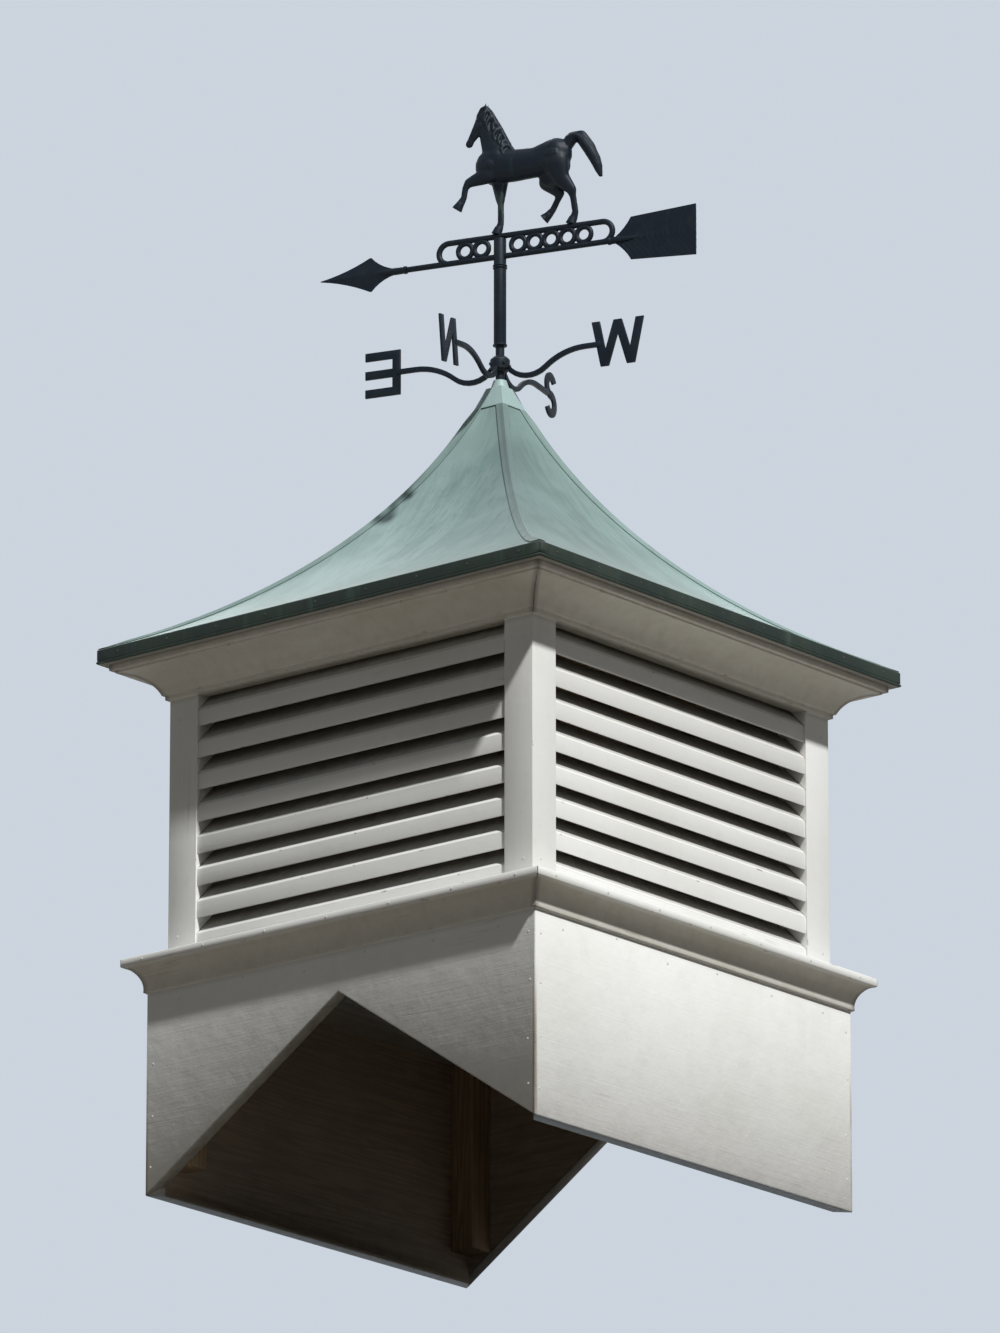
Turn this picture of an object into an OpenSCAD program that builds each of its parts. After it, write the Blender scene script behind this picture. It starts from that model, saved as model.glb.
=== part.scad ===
// Garage cupola: a louvred box on a saddle base that straddles the ridge, under a
// flared copper roof that carries a compass and a turning horse vane.
// X runs along the ridge, the front faces -Y, and Z is zero at the base's lowest edge.
// The rod of the vane stands on the Z axis.

/* [Base] */
// Outside width of the square base
base_w = 660; // [600:5:720]
// Height of the base boards, from the lowest edge to the sill
base_h = 301; // [270:1:340]
// Thickness of the base boards
board_t = 19; // [15:1:24]
// Rise of the garage roof over a run of twelve
ridge_pitch = 8; // [5:0.5:9]
// Width of the square blocks inside the base's corners
block_w = 38; // [25:1:50]

/* [Sill] */
// How far the sill stands out over the base boards
sill_over = 25.5; // [15:0.5:50]
// Thickness of the sill board
sill_t = 19; // [15:1:25]
// Height of the sill's plain outer edge
sill_edge = 11; // [6:1:14]
// How far the cove under the sill comes down over the base boards
cove_drop = 26; // [15:1:40]
// Thickness of the cove's foot
cove_foot = 4; // [2:0.5:8]
// How hollow the cove is
cove_bow = 6; // [3:0.5:9]

/* [Louvres] */
// How far the louvred box stands in from the faces of the base boards
box_in = 19; // [10:1:35]
// Width of the square corner posts
post_w = 48; // [42:1:60]
// Height of the corner posts
post_h = 405; // [340:1:480]
// Thickness of a louvre blade
blade_t = 16.5; // [12:0.5:22]
// Slope of the blades, up from level
blade_slope = 45; // [35:1:50]
// Height from one blade to the next
blade_pitch = 44; // [38:0.5:55]
// Level depth of a blade, from its front edge to its back edge
blade_depth = 36; // [28:1:38]
// How far a blade's end is let into the post
blade_let_in = 6; // [3:0.5:8]
// How far the blades' front edges lie behind the face of the posts
blade_setback = 3; // [1:0.5:6]
// Height of the lowest blade's front edge over the sill
blade_start = 6; // [2:1:14]

/* [Cornice] */
// How far the roof's folded edge stands out over the top of the cornice
eaves_over = 12; // [6:1:24]
// Height of the cornice
cornice_h = 47; // [36:1:60]
// Height of the cornice's plain top edge
cornice_edge = 8; // [5:1:12]
// Thickness of the cornice's foot
cornice_foot = 5; // [3:0.5:8]
// How hollow the cornice is
cornice_bow = 8; // [4:0.5:12]
// Width of the small step at each end of the cornice's hollow
cornice_step = 3; // [1.5:0.5:5]
// Thickness of the frieze board behind the cornice
frieze_t = 19; // [15:1:25]

/* [Roof] */
// How far the roof's folded edge stands out from the louvred box
roof_over = 70; // [60:1:90]
// Height of the roof, from its edge to its top
roof_h = 382; // [330:1:430]
// How hollow the roof is, measured from a straight slope
roof_bow = 58; // [40:1:70]
// Width of the square opening at the roof's top
apex_w = 24; // [22:1:40]
// Thickness of the copper sheet
copper_t = 1; // [0.8:0.1:2]
// Height of the sheet's folded edge
hem_h = 20; // [18:1:34]
// Thickness of the frame under the roof's edge
eaves_t = 19; // [12:1:19]
// Thickness of the bent boarding under the copper
deck_t = 6; // [4:0.5:9]
// Thickness of the roof ribs
rib_t = 18; // [12:1:25]
// Depth of the roof ribs
rib_depth = 45; // [30:1:60]
// Width of the square king post that holds the rod
king_w = 60; // [45:1:62]
// Length of the king post
king_h = 150; // [100:1:200]
// Width of the copper strip along each hip
hip_w = 16; // [10:1:30]
// Height of the copper cap over the roof's top
cap_h = 30; // [20:1:50]

/* [Rod and compass] */
// Diameter of the standing rod
rod_d = 12; // [10:0.5:14]
// Height of the rod over the roof's top
rod_h = 208; // [180:1:260]
// Height of the compass hub over the roof's top
hub_z = 35; // [32:1:60]
// Diameter of the compass hub
hub_d = 27; // [22:1:36]
// Height of the compass hub
hub_h = 22; // [16:1:30]
// Height of the compass arms' straps
arm_w = 7; // [5:0.5:9]
// Thickness of the compass arms' straps
arm_t = 5; // [4:0.5:8]
// Distance from the rod to the middle of the letters
letter_r = 172; // [165:1:200]
// Height of the letters
letter_h = 64; // [50:1:80]
// Width of the letters N, E and S
letter_w = 52; // [40:1:60]
// Width of the letter W
letter_w_wide = 76; // [60:1:86]
// Width of the letters' strokes
stroke = 12; // [8:1:14]
// Thickness of the letters
letter_t = 3; // [2:0.5:6]
// Turn of the compass on the cupola: the arm of the E, from the X axis
compass_turn = 106; // [0:1:359]
// How far the arm of the N has been bent down
north_droop = 9; // [0:1:15]

/* [Vane] */
// Outside diameter of the sleeve that turns on the rod
sleeve_d = 17; // [15:0.5:22]
// Height of the sleeve's lower end over the compass hub
sleeve_lift = 15; // [8:1:30]
// Height of the arrow's shaft over the roof's top
arrow_z = 189; // [150:1:200]
// Diameter of the arrow's bars
bar_d = 8; // [6:0.5:10]
// Height from the arrow's shaft to the bar under the horse
bar_rise = 29; // [27:1:40]
// Distance from the rod to the front end of the upper bar
bar_front = 75; // [60:1:100]
// Distance from the rod to the back end of the upper bar
bar_back = 150; // [140:1:170]
// Distance from the rod to the arrow's tip
tip_x = 265; // [245:1:300]
// Length of the arrow's head
head_l = 112; // [90:1:130]
// Width of the arrow's head
head_w = 50; // [36:1:70]
// Distance from the rod to the end of the arrow's tail
tail_x = 286; // [280:1:320]
// Length of the arrow's tail
tail_l = 118; // [90:1:120]
// Width of the arrow's tail at its end
tail_w = 72; // [50:1:90]
// Thickness of the arrow's head and tail
plate_t = 3; // [2:0.5:6]
// Thickness of the two rings between the arrow's bars
ring_d = 5; // [3:0.5:7]
// Distance from the rod to the middle of the nearer ring
ring_x = 27; // [25:1:30]
// Height of the horse, from its hooves to its ears
horse_h = 190; // [160:1:220]
// Thickness of the horse, as a share of a round body
horse_swell = 0.62; // [0.4:0.02:0.9]
// Direction of the arrow at rest, from the X axis
vane_turn = 106; // [0:1:359]

/* [Clearances] */
// Gap round a blade's end in its groove
groove_gap = 0.3; // [0.1:0.1:0.8]
// Gap between the turning sleeve and the rod, all round
running_gap = 0.08; // [0.02:0.01:0.1]
// Gap between the rod's end and the sleeve's cap
end_gap = 0.3; // [0.2:0.05:0.6]
// Gap between fixed round parts
seat_gap = 0.05; // [0.02:0.01:0.1]
// Gap between the copper sheet and the boarding under it
sheet_gap = 0.1; // [0.05:0.05:0.5]

/* [Hidden] */
$fn = 32;

FRONT = 0;
RIGHT = 90;
BACK = 180;
LEFT = 270;

// Levels, from the ground up
base_half = base_w / 2;
sill_half = base_half + sill_over;
box_half = base_half - box_in;
roof_half = box_half + roof_over;
slope = ridge_pitch / 12;
notch_h = base_half * slope;
sill_top = base_h + sill_t;
eaves_z = sill_top + post_h;
frieze_z = eaves_z - cornice_h;
frame_top = eaves_z + eaves_t;
edge_z = eaves_z + hem_h;
apex_z = edge_z + roof_h;
reach = 2 * roof_half;

// Louvres: plumb height of a blade's cut edge, and the number of blades
blade_edge = blade_t / cos(blade_slope);
blade_front = box_half - blade_setback;
blade_room = frieze_z - sill_top - blade_start - blade_edge - frieze_t * tan(blade_slope);
blade_count = floor(blade_room / blade_pitch) + 1;
opening_half = box_half - post_w;

// Roof curve: a circle through the edge and the top, hollow by roof_bow
apex_half = apex_w / 2;
roof_chord = norm([roof_half - apex_half, roof_h]);
roof_r = (roof_chord * roof_chord / 4 + roof_bow * roof_bow) / (2 * roof_bow);
roof_spread = 2 * atan(2 * roof_bow / roof_chord);
roof_lean = atan2(roof_h, roof_half - apex_half);
eave_slope = roof_lean - roof_spread;
roof_steps = 18;
curve_x = roof_half + roof_r * sin(eave_slope);
curve_z = edge_z + roof_r * cos(eave_slope);
deck_off = copper_t + sheet_gap;
rib_off = deck_off + deck_t;
cap_sheet = 1.2;
cap_gap = 0.2;
collar_h = 12;

// Levels on the rod
hub_mid = apex_z + hub_z;
rod_top = apex_z + rod_h;
sleeve_z = hub_mid + hub_h / 2 + sleeve_lift;
shaft_z = apex_z + arrow_z;
bar_z = shaft_z + bar_rise;
horse_z = bar_z + bar_d / 2;

white = "#f3f3ec";
raw_wood = "#b98f5e";
copper = "#9fbfb2";
black_iron = "#1c2a2c";

// Points of a shallow arc from p to q whose middle lies bow to the left of the chord
function bow_points(p, q, bow, steps) =
    let (chord = norm(q - p),
         r = (chord * chord / 4 + bow * bow) / (2 * bow),
         spread = 2 * atan(2 * bow / chord),
         along = (q - p) / chord,
         left = [-along.y, along.x],
         centre = (p + q) / 2 - left * (r - bow))
    [for (i = [0:steps])
        let (a = spread * (2 * i / steps - 1))
        centre + r * (left * cos(a) + along * sin(a))];

// Slope of the roof curve at step i, and its point at that step, off below the surface
function curve_slope(i) = eave_slope + 2 * roof_spread * i / roof_steps;
function curve_point(i, off) =
    [curve_x - (roof_r + off) * sin(curve_slope(i)), curve_z - (roof_r + off) * cos(curve_slope(i))];
function curve_points(off) = [for (i = [0:roof_steps]) curve_point(i, off)];
function flip(points) = [for (i = [len(points) - 1:-1:0]) points[i]];
function mirrored(points) = [for (p = flip(points)) [-p.x, p.y]];

// A profile of [distance from the axis, height] drawn along the whole front side
module side_run(profile) {
    rotate([90, 0, 90]) linear_extrude(2 * reach, center = true)
        polygon([for (p = profile) [-p.x, p.y]]);
}

// The quarter of the plan that belongs to one side, out to the given distance
module side_quarter(out, low, high) {
    translate([0, 0, low]) linear_extrude(high - low) polygon([[0, 0], [-out, -out], [out, -out]]);
}

// A length of one profile on one side, mitred at both corners
module mitred(side, profile, low, high, out = reach) {
    rotate([0, 0, side]) intersection() {
        side_run(profile);
        side_quarter(out, low, high);
    }
}

module base_wall(side) {
    inside = base_half - board_t;
    outline = [[inside, 0], [base_half, 0], [base_half, base_h], [inside, base_h]];
    color(white) mitred(side, outline, 0, base_h);
}

// A base wall across the ridge, with the saddle cut out of its lower edge
module saddle_wall(side) {
    color(white) difference() {
        base_wall(side);
        rotate([0, 0, side]) rotate([90, 0, 0]) linear_extrude(2 * base_w, center = true) polygon([
            [-base_half, 0], [0, notch_h], [base_half, 0], [base_half, -base_h], [-base_half, -base_h]]);
    }
}

module base_corner_blocks() {
    outer = base_half - board_t;
    low = (board_t + block_w) * slope;
    color(raw_wood) for (sx = [-1, 1], sy = [-1, 1])
        translate([sx * (outer - block_w / 2), sy * (outer - block_w / 2), (low + base_h) / 2])
            cube([block_w, block_w, base_h - low], center = true);
}

// The sill board with its cove, hooked over the top of the base boards
module sill(side) {
    cove_low = [base_half + cove_foot, base_h - cove_drop];
    cove_high = [sill_half - cove_foot, sill_top - sill_edge];
    profile = concat(
        [[opening_half, base_h], [base_half, base_h], [base_half, base_h - cove_drop]],
        bow_points(cove_low, cove_high, cove_bow, 8),
        [[sill_half, sill_top - sill_edge], [sill_half, sill_top], [opening_half, sill_top]]);
    color(white) mitred(side, profile, 0, sill_top);
}

// Outline of a blade across its length, from the sill's top
function blade_profile(out, back, gap) = [
    [out, -gap], [out, blade_edge + gap],
    [back, blade_edge + gap + (out - back) * tan(blade_slope)],
    [back, -gap + (out - back) * tan(blade_slope)]];

module blades_on(side, half_length, gap) {
    back = blade_front - blade_depth;
    rotate([0, 0, side]) for (i = [0:blade_count - 1])
        translate([0, 0, sill_top + blade_start + i * blade_pitch])
            rotate([90, 0, 90]) linear_extrude(2 * half_length, center = true)
                polygon([for (p = blade_profile(blade_front + gap, back - gap, gap)) [-p.x, p.y]]);
}

module louvres(side) {
    color(white) blades_on(side, opening_half + blade_let_in, 0);
}

// A corner post, grooved on two sides for the blades' ends
module post(side) {
    mid = box_half - post_w / 2;
    color(white) rotate([0, 0, side]) difference() {
        translate([mid, -mid, sill_top + post_h / 2]) cube([post_w, post_w, post_h], center = true);
        blades_on(FRONT, opening_half + blade_let_in + groove_gap, groove_gap);
        blades_on(RIGHT, opening_half + blade_let_in + groove_gap, groove_gap);
    }
}

// The crown along the top of the posts, with the frieze board behind it between them,
// which is let into the crown's back
module cornice(side) {
    frieze_lap = cornice_foot / 2;
    half = roof_half - eaves_over;
    foot = [box_half + cornice_foot, frieze_z];
    low = foot + [cornice_step, 2 * cornice_step];
    high = [half - 2 * cornice_step, eaves_z - cornice_edge - cornice_step];
    profile = concat([[box_half, frieze_z], foot, foot + [0, 2 * cornice_step]],
        bow_points(low, high, cornice_bow, 12),
        [[high.x, eaves_z - cornice_edge], [half, eaves_z - cornice_edge], [half, eaves_z],
         [box_half, eaves_z]]);
    color(white) union() {
        mitred(side, profile, 0, eaves_z);
        rotate([0, 0, side]) translate([-opening_half, -box_half - frieze_lap, frieze_z])
            cube([2 * opening_half, frieze_t + frieze_lap, cornice_h]);
    }
}

// One flat ring of board under the roof's edge
module eaves_frame() {
    outer = 2 * (roof_half - copper_t);
    color(raw_wood) translate([0, 0, eaves_z]) difference() {
        translate([-outer / 2, -outer / 2, 0]) cube([outer, outer, eaves_t]);
        translate([-opening_half, -opening_half, -1])
            cube([2 * opening_half, 2 * opening_half, eaves_t + 2]);
    }
}

// Everything under the roof curve, off below the copper's outer surface
module under_roof(off) {
    side = [for (p = curve_points(off)) if (p.x > 0.5) p];
    outline = concat([[side[0].x, eaves_z]], side, mirrored(side), [[-side[0].x, eaves_z]]);
    intersection_for (a = [0, 90])
        rotate([0, 0, a]) rotate([90, 0, 90]) linear_extrude(2 * reach, center = true) polygon(outline);
}

module roof_deck(side) {
    profile = concat(curve_points(deck_off), flip(curve_points(rib_off)));
    color(raw_wood) mitred(side, profile, frame_top, apex_z - cap_h / 2, roof_half - copper_t - end_gap);
}

module roof_copper(side) {
    inner = curve_points(copper_t);
    inside = roof_half - copper_t;
    first_slope = (inner[1].y - inner[0].y) / (inner[0].x - inner[1].x);
    inner_edge = inner[0].y + (inner[0].x - inside) * first_slope;
    profile = concat(flip(curve_points(0)),
        [[roof_half, eaves_z], [inside, eaves_z], [inside, inner_edge]],
        [for (i = [1:roof_steps]) inner[i]]);
    color(copper) mitred(side, profile, 0, 2 * apex_z);
}

// Four hip ribs and four ribs between them, backed to the boarding, butted on the king post
module roof_ribs() {
    color(raw_wood) difference() {
        intersection() {
            under_roof(rib_off);
            for (a = [0:45:135]) rotate([0, 0, a]) translate([-reach, -rib_t / 2, frame_top])
                cube([2 * reach, rib_t, roof_h]);
        }
        under_roof(rib_off + rib_depth);
        translate([-king_w / 2, -king_w / 2, 0]) cube([king_w, king_w, 2 * apex_z]);
    }
}

// Height at which the boarding leaves just the king post's width
king_slope = asin((curve_x - king_w / 2 - end_gap) / (roof_r + rib_off));
king_top = curve_z - (roof_r + rib_off) * cos(king_slope) - 1;

module king_post() {
    color(raw_wood) difference() {
        translate([-king_w / 2, -king_w / 2, king_top - king_h]) cube([king_w, king_w, king_h]);
        translate([0, 0, king_top - king_h - 1]) cylinder(d = rod_d + 2 * seat_gap, h = king_h + 2);
    }
}

module hip_strips() {
    color(copper) intersection() {
        difference() {
            under_roof(-copper_t);
            under_roof(0);
        }
        for (a = [45, 135]) rotate([0, 0, a]) translate([-reach, -hip_w / 2, edge_z])
            cube([2 * reach, hip_w, roof_h - cap_h - 1]);
        translate([-roof_half, -roof_half, 0]) cube([2 * roof_half, 2 * roof_half, 2 * apex_z]);
    }
}

module apex_cap() {
    color(copper) difference() {
        union() {
            intersection() {
                under_roof(-cap_gap - cap_sheet);
                translate([-reach / 2, -reach / 2, apex_z - cap_h]) cube([reach, reach, 2 * cap_h]);
            }
            translate([0, 0, apex_z]) cylinder(d1 = apex_w + 2, d2 = rod_d + 6, h = collar_h);
        }
        under_roof(-cap_gap);
        cylinder(d = rod_d + 2 * seat_gap, h = 2 * apex_z);
    }
}

module vane_rod() {
    foot = king_top - king_h;
    color(black_iron) translate([0, 0, foot]) cylinder(d = rod_d, h = rod_top - foot);
}

module compass_hub() {
    edge = hub_h / 5;
    color(black_iron) translate([0, 0, hub_mid]) rotate_extrude() polygon([
        [rod_d / 2 + seat_gap, -hub_h / 2], [hub_d / 2 - edge, -hub_h / 2], [hub_d / 2, edge - hub_h / 2],
        [hub_d / 2, hub_h / 2 - edge], [hub_d / 2 - edge, hub_h / 2], [rod_d / 2 + seat_gap, hub_h / 2]]);
}

// A round bar bent round the centre [x, z], from one angle to another, in the plane of the arm
module bent_bar(centre, r, from, to, d) {
    translate([centre.x, 0, centre.y]) rotate([90, 0, 0]) rotate([0, 0, from])
        rotate_extrude(angle = to - from) translate([r, 0]) circle(d = d);
}

// The S-shaped strap: it dips beside the hub and rises to the letter
dip_r = 38;
rise_r = 90;
dip_mid = [42, 18];
bend = 40;
turn_point = dip_mid + dip_r * [sin(bend), -cos(bend)];
rise_mid = turn_point + rise_r * [sin(bend), -cos(bend)];
arm_end_z = rise_mid.y + rise_r;

// The strap's edge, off above its middle line
function arm_edge(off, end) =
    let (start = asin((hub_d / 2 - 2 - dip_mid.x) / dip_r))
    concat(
        [for (i = [0:8]) let (a = start + (bend - start) * i / 8)
            dip_mid + (dip_r - off) * [sin(a), -cos(a)]],
        [for (i = [1:8]) let (a = bend * (1 - i / 8))
            rise_mid + (rise_r + off) * [-sin(a), cos(a)]],
        [[end, arm_end_z + off]]);

module compass_arm(end) {
    translate([0, arm_t / 2, 0]) rotate([90, 0, 0]) linear_extrude(arm_t)
        polygon(concat(arm_edge(arm_w / 2, end), flip(arm_edge(-arm_w / 2, end))));
}

// A letter's flat outline, stood up at the end of its arm
module letter_plate() {
    translate([letter_r, letter_t / 2, arm_end_z]) rotate([90, 0, 0]) linear_extrude(letter_t) children();
}

module letter_e() {
    w = letter_w / 2;
    h = letter_h / 2;
    translate([-w, -h]) square([stroke, letter_h]);
    for (y = [-h, -stroke / 2, h - stroke]) translate([-w, y]) square([letter_w, stroke]);
}

module letter_n() {
    w = letter_w / 2;
    h = letter_h / 2;
    for (x = [-w, w - stroke]) translate([x, -h]) square([stroke, letter_h]);
    polygon([[-w, h], [stroke - w, h], [w, -h], [w - stroke, -h]]);
}

module letter_w_shape() {
    w = letter_w_wide / 2;
    h = letter_h / 2;
    for (s = [-1, 1]) {
        foot = [[s * (w - stroke) / 2, -h], [s * (w + stroke) / 2, -h]];
        polygon(concat([[s * w, h], [s * (w - stroke), h]], foot));
        polygon(concat([[s * stroke / 2, h], [-s * stroke / 2, h]], foot));
    }
}

// Two rings, one over the other, each open on the other side
module letter_s() {
    ring = letter_h / 4 + stroke / 4;
    for (turn = [0, 180]) rotate(turn) translate([0, letter_h / 2 - ring]) difference() {
        circle(r = ring);
        circle(r = ring - stroke);
        polygon([[0, 0], [2 * ring, ring], [2 * ring, -2 * ring], [0, -2 * ring]]);
    }
}

// One arm and its letter, whose outline starts inset from the letter's middle
module compass_point(quarter, droop, inset) {
    color(black_iron) translate([0, 0, hub_mid]) difference() {
        rotate([0, 0, compass_turn + 90 * quarter]) rotate([0, droop, 0]) {
            compass_arm(letter_r - inset + stroke / 2);
            letter_plate() children();
        }
        translate([0, 0, -hub_h]) cylinder(d = hub_d + 2 * seat_gap, h = 2 * hub_h);
    }
}

module compass_east() { compass_point(0, 0, letter_w / 2) letter_e(); }
module compass_north() { compass_point(1, north_droop, letter_w / 2) letter_n(); }
module compass_west() { compass_point(2, 0, letter_w_wide * 3 / 8 + stroke / 4) letter_w_shape(); }
module compass_south() { compass_point(3, 0, letter_h / 4) letter_s(); }

// The turning parts, drawn with the arrow along X and turned to rest
module on_vane() {
    color(black_iron) rotate([0, 0, vane_turn]) children();
}

module vane_sleeve() {
    top = bar_z - bar_d / 2 - seat_gap;
    color(black_iron) difference() {
        translate([0, 0, sleeve_z]) cylinder(d = sleeve_d, h = top - sleeve_z);
        translate([0, 0, sleeve_z - 1])
            cylinder(d = rod_d + 2 * running_gap, h = rod_top + end_gap - sleeve_z + 1);
    }
}

// The shaft, the bar over it that the horse stands on, the bends that join them, and two rings
// side by side in front of the sleeve, let into each other and into both bars
module arrow_shaft() {
    ring_r = (bar_rise - bar_d) / 2;
    ring_pitch = 2 * ring_r + 0.6 * ring_d;
    head_x = tip_x - head_l;
    tail_start = tail_x - tail_l;
    on_vane() difference() {
        union() {
            translate([-tail_start, 0, shaft_z]) rotate([0, 90, 0])
                cylinder(d = bar_d, h = tail_start + head_x);
            translate([-bar_back, 0, bar_z]) rotate([0, 90, 0])
                cylinder(d = bar_d, h = bar_back + bar_front);
            translate([0, 0, shaft_z]) bent_bar([bar_front, bar_rise / 2], bar_rise / 2, -90, 90, bar_d);
            translate([0, 0, shaft_z]) bent_bar([-bar_back, bar_rise / 2], bar_rise / 2, 90, 270, bar_d);
            for (x = [ring_x, ring_x + ring_pitch]) translate([x, 0, shaft_z + bar_rise / 2])
                rotate([90, 0, 0]) rotate_extrude() translate([ring_r, 0]) circle(d = ring_d);
        }
        translate([0, 0, sleeve_z])
            cylinder(d = sleeve_d + 2 * seat_gap, h = bar_z - bar_d / 2 - sleeve_z);
    }
}

module vane_plate() {
    translate([0, plate_t / 2, shaft_z]) rotate([90, 0, 0]) linear_extrude(plate_t) children();
}

module arrow_head() {
    back = tip_x - head_l;
    wide = back + head_l / 3;
    neck = bar_d / 2;
    side = concat(bow_points([back, neck], [wide, head_w / 2], -4, 5),
        bow_points([wide, head_w / 2], [tip_x, 0.5], -3, 6));
    on_vane() difference() {
        vane_plate() polygon(concat(side, [for (p = flip(side)) [p.x, -p.y]]));
        translate([0, 0, shaft_z]) rotate([0, 90, 0]) cylinder(d = bar_d + 2 * seat_gap, h = back);
    }
}

module arrow_tail() {
    front = tail_x - tail_l;
    shoulder = front + tail_l / 5;
    side = concat(bow_points([-front, bar_d / 2], [-shoulder, tail_w * 0.42], 2, 4),
        [[-tail_x, tail_w / 2]]);
    on_vane() vane_plate() polygon(concat(side, [for (p = flip(side)) [p.x, -p.y]]));
}

// Length of a line through the first points, up to point i
function reach_to(points, i) =
    i == 0 ? 0 : reach_to(points, i - 1) + norm(points[i] - points[i - 1]);

// A chain of rounded limbs through points [x, z] in the horse's own plane, with a radius at
// each, which moves from y at its first point to end_y at its last
module limbs(points, radii, y = 0, end_y = 0) {
    last = len(points) - 1;
    place = [for (i = [0:last])
        [points[i].x, y + (end_y - y) * reach_to(points, i) / reach_to(points, last), points[i].y]];
    for (i = [0:last - 1]) hull() for (k = [i, i + 1])
        translate(place[k]) sphere(r = radii[k], $fn = 16);
}

// The trotting horse, drawn for a height of 190 and scaled to its own
module horse_body() {
    limbs([[11, 98], [-20, 94], [-52, 94], [-82, 101]], [25, 23, 21.5, 24]);
    limbs([[4, 110], [16, 140], [24, 167]], [20, 13.5, 9.5]);
    limbs([[-12, 118], [2, 148], [15, 177]], [8, 7, 4]);
    limbs([[24, 168], [31, 156], [43, 138], [45, 134]], [11, 9, 5.5, 6]);
    for (s = [-1, 1]) {
        limbs([[20, 176], [19, 188.5]], [3.2, 1.5], s * 5, s * 7);
        limbs([[4, 106], [12, 84]], [15, 12], s * 9, s * 10);
        limbs([[-82, 104], [-86, 86]], [17, 15], s * 9, s * 10);
    }
    limbs([[14, 84], [43, 76], [48, 69], [50, 55], [56, 46]], [13, 7, 5, 4.8, 6.5], 10, 12);
    limbs([[3, 84], [1, 50], [0, 42], [-1, 15], [2, 5]], [14, 7, 5, 5, 6.5], -10, 0);
    limbs([[-84, 88], [-91, 66], [-106, 47], [-108, 38], [-111, 15], [-107, 5]],
        [19, 12.5, 7.5, 5, 5, 6.5], 10, 0);
    limbs([[-76, 86], [-67, 66], [-85, 48], [-83, 40], [-75, 25], [-68, 18]],
        [19, 12.5, 7.5, 5, 5, 6.5], -10, -10);
    limbs([[-96, 108], [-105, 123], [-119, 122], [-131, 104], [-140, 85], [-145, 70]],
        [8, 7.5, 9, 9.5, 7.5, 3]);
}

// The hooves that stand are hollowed to the bar
module horse() {
    size = horse_h / 190;
    on_vane() difference() {
        translate([0, 0, horse_z]) scale([size, size * horse_swell, size]) horse_body();
        translate([-tail_x, 0, bar_z]) rotate([0, 90, 0])
            cylinder(d = bar_d + 2 * seat_gap, h = 2 * tail_x);
    }
}

base_wall(FRONT);  // base_wall_front
saddle_wall(RIGHT);  // base_wall_right
base_wall(BACK);  // base_wall_back
saddle_wall(LEFT);  // base_wall_left
base_corner_blocks();
sill(FRONT);  // sill_front
sill(RIGHT);  // sill_right
sill(BACK);  // sill_back
sill(LEFT);  // sill_left
post(FRONT);  // post_front_right
post(RIGHT);  // post_back_right
post(BACK);  // post_back_left
post(LEFT);  // post_front_left
louvres(FRONT);  // louvres_front
louvres(RIGHT);  // louvres_right
louvres(BACK);  // louvres_back
louvres(LEFT);  // louvres_left
cornice(FRONT);  // cornice_front
cornice(RIGHT);  // cornice_right
cornice(BACK);  // cornice_back
cornice(LEFT);  // cornice_left
eaves_frame();
roof_ribs();
king_post();
roof_deck(FRONT);  // roof_deck_front
roof_deck(RIGHT);  // roof_deck_right
roof_deck(BACK);  // roof_deck_back
roof_deck(LEFT);  // roof_deck_left
roof_copper(FRONT);  // roof_copper_front
roof_copper(RIGHT);  // roof_copper_right
roof_copper(BACK);  // roof_copper_back
roof_copper(LEFT);  // roof_copper_left
hip_strips();
apex_cap();
vane_rod();
compass_hub();
compass_east();
compass_north();
compass_west();
compass_south();
vane_sleeve();
arrow_shaft();
arrow_head();
arrow_tail();
horse();
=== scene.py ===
"""The garage cupola dressed: painted boards, a weathered copper roof and a dark turning vane."""

import math

import bmesh
import bpy
from mathutils import Matrix, Vector, noise
from mathutils.bvhtree import BVHTree


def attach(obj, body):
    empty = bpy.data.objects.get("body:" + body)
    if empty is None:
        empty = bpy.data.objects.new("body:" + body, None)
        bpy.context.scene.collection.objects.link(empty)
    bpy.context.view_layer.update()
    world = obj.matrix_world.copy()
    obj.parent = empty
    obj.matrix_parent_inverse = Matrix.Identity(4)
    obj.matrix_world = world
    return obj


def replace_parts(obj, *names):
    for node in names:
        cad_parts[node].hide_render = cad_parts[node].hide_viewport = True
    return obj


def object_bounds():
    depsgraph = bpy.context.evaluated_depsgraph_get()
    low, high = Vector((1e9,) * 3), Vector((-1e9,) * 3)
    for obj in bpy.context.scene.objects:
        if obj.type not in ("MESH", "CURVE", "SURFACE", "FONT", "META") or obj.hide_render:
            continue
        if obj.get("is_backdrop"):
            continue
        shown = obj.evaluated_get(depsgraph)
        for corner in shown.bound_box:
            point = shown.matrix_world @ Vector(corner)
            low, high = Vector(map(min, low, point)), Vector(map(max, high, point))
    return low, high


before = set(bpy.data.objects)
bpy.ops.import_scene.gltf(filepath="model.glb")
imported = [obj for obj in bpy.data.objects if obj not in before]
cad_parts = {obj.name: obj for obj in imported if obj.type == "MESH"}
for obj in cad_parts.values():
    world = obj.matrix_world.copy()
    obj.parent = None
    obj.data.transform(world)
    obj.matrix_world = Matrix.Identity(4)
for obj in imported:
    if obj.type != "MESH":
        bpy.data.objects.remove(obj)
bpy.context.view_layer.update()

# Sizes in metres, in the frame of the solids: X along the ridge, -Y to the front, Z up
BASE_HALF = 0.330
BOARD = 0.019
SADDLE_RISE = 8 / 12
SILL_HALF = 0.3555
SILL_TOP = 0.320
COVE_FOOT_Z = 0.275
BOX_HALF = 0.311
POST = 0.048
OPENING_HALF = BOX_HALF - POST
BLADE_DEPTH = 0.036
CORNICE_FOOT_Z = 0.678
CORNICE_HALF = 0.369
EAVES_Z = 0.725
EAVES_HALF = 0.3790
EDGE_Z = 0.745
ROOF_HALF = 0.381
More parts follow.
